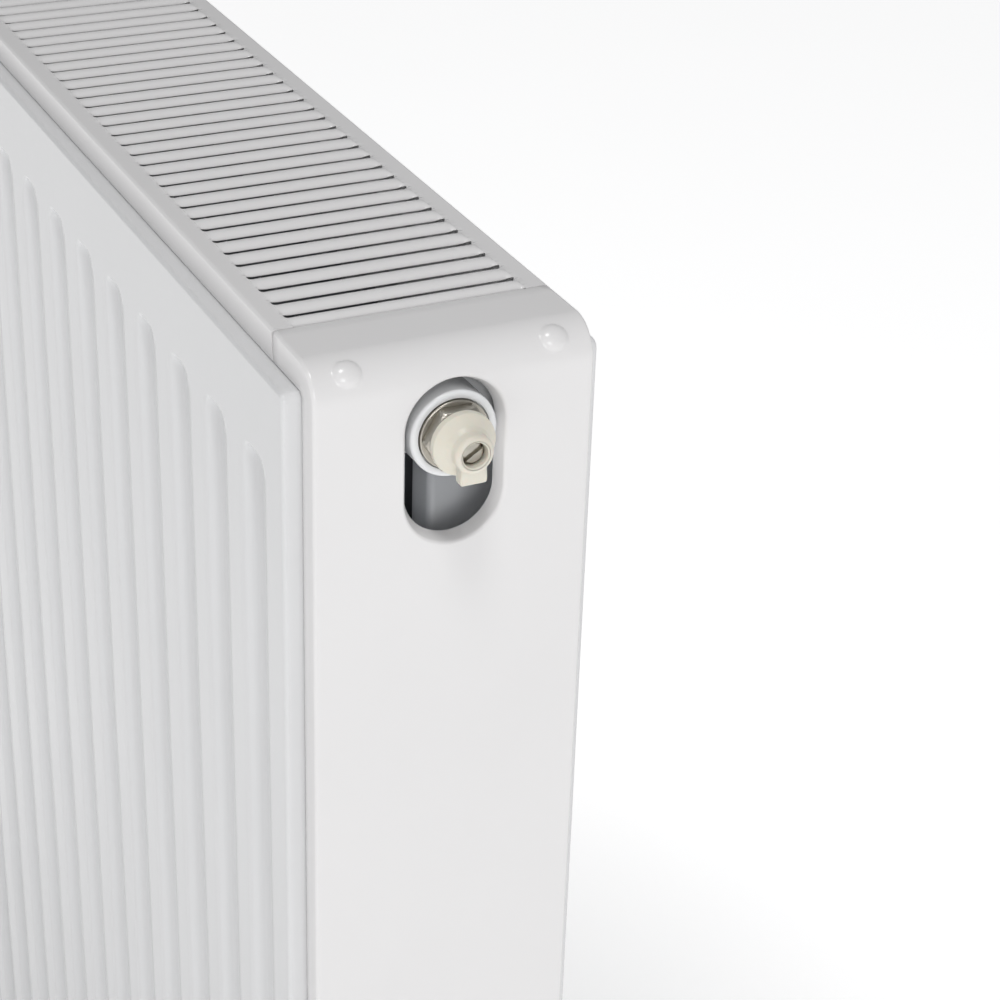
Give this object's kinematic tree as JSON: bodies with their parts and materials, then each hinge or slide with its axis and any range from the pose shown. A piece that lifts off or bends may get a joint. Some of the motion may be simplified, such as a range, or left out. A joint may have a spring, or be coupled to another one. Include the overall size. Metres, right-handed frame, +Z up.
{
  "type": "panel radiator with air vent",
  "caption": "Double-panel steel radiator with corrugated convectors, slotted top grille, lift-off end covers and a manual air vent in its top end tapping.",
  "frame": {"origin": "under the middle of the overall box, on the floor line of the two panels", "axes": "+X along the radiator to the end with the air vent, -Y to the room, +Y to the wall, +Z up"},
  "size_m": [0.614, 0.11, 0.6],
  "materials": {
    "panel_enamel": "white powder coat, satin",
    "casing_enamel": "white powder coat, satin",
    "convector_enamel": "thin white coat",
    "tapping_enamel": "white powder coat over a turned ring",
    "nickel_plate": "nickel plated brass, turned",
    "outlet_plastic": "moulded cream plastic",
    "seal_rubber": "black rubber"
  },
  "bodies": {
    "radiator": {"front_panel_outer_sheet": "panel_enamel", "front_panel_inner_sheet": "panel_enamel", "rear_panel_outer_sheet": "panel_enamel", "rear_panel_inner_sheet": "panel_enamel", "front_convector": "convector_enamel", "rear_convector": "convector_enamel", "top_right_tapping_tee": "tapping_enamel", "top_left_tapping_tee": "tapping_enamel", "bottom_right_tapping_tee": "tapping_enamel", "bottom_left_tapping_tee": "tapping_enamel", "upper_right_hanging_lug": "panel_enamel", "lower_right_hanging_lug": "panel_enamel", "upper_left_hanging_lug": "panel_enamel", "lower_left_hanging_lug": "panel_enamel", "vent_plug": "nickel_plate", "blanking_plug": "nickel_plate", "vent_plug_seal": "seal_rubber", "blanking_plug_seal": "seal_rubber"},
    "grille": {"top_grille": "casing_enamel"},
    "right_cover": {"right_end_cover": "casing_enamel"},
    "left_cover": {"left_end_cover": "casing_enamel"},
    "outlet": {"vent_outlet": "outlet_plastic"},
    "screw_seal": {"bleed_screw_seal": "seal_rubber"},
    "screw": {"bleed_screw": "nickel_plate"}
  },
  "joints": [
    {"name": "grille_lift", "type": "slide", "parent": "radiator", "child": "grille", "axis": [0, 0, 1], "range_m": [0, 0.06]},
    {"name": "right_cover_pull", "type": "slide", "parent": "radiator", "child": "right_cover", "axis": [1, 0, 0], "range_m": [0, 0.06]},
    {"name": "left_cover_pull", "type": "slide", "parent": "radiator", "child": "left_cover", "axis": [-1, 0, 0], "range_m": [0, 0.06]},
    {"name": "outlet_swivel", "type": "hinge", "parent": "radiator", "child": "outlet", "pos_m": [0.293, -0.004, 0.5718], "axis": [1, 0, 0], "continuous": true},
    {"name": "screw_advance", "type": "slide", "parent": "radiator", "child": "screw_seal", "axis": [1, 0, 0], "range_m": [0, 0.001]},
    {"name": "screw_turn", "type": "hinge", "parent": "screw_seal", "child": "screw", "pos_m": [0.293, -0.004, 0.5718], "axis": [1, 0, 0], "range_deg": [0, 360]}
  ],
  "couplings": [
    {"joint": "screw_turn", "follows": "screw_advance", "rad_per_m": 6283.2}
  ]
}
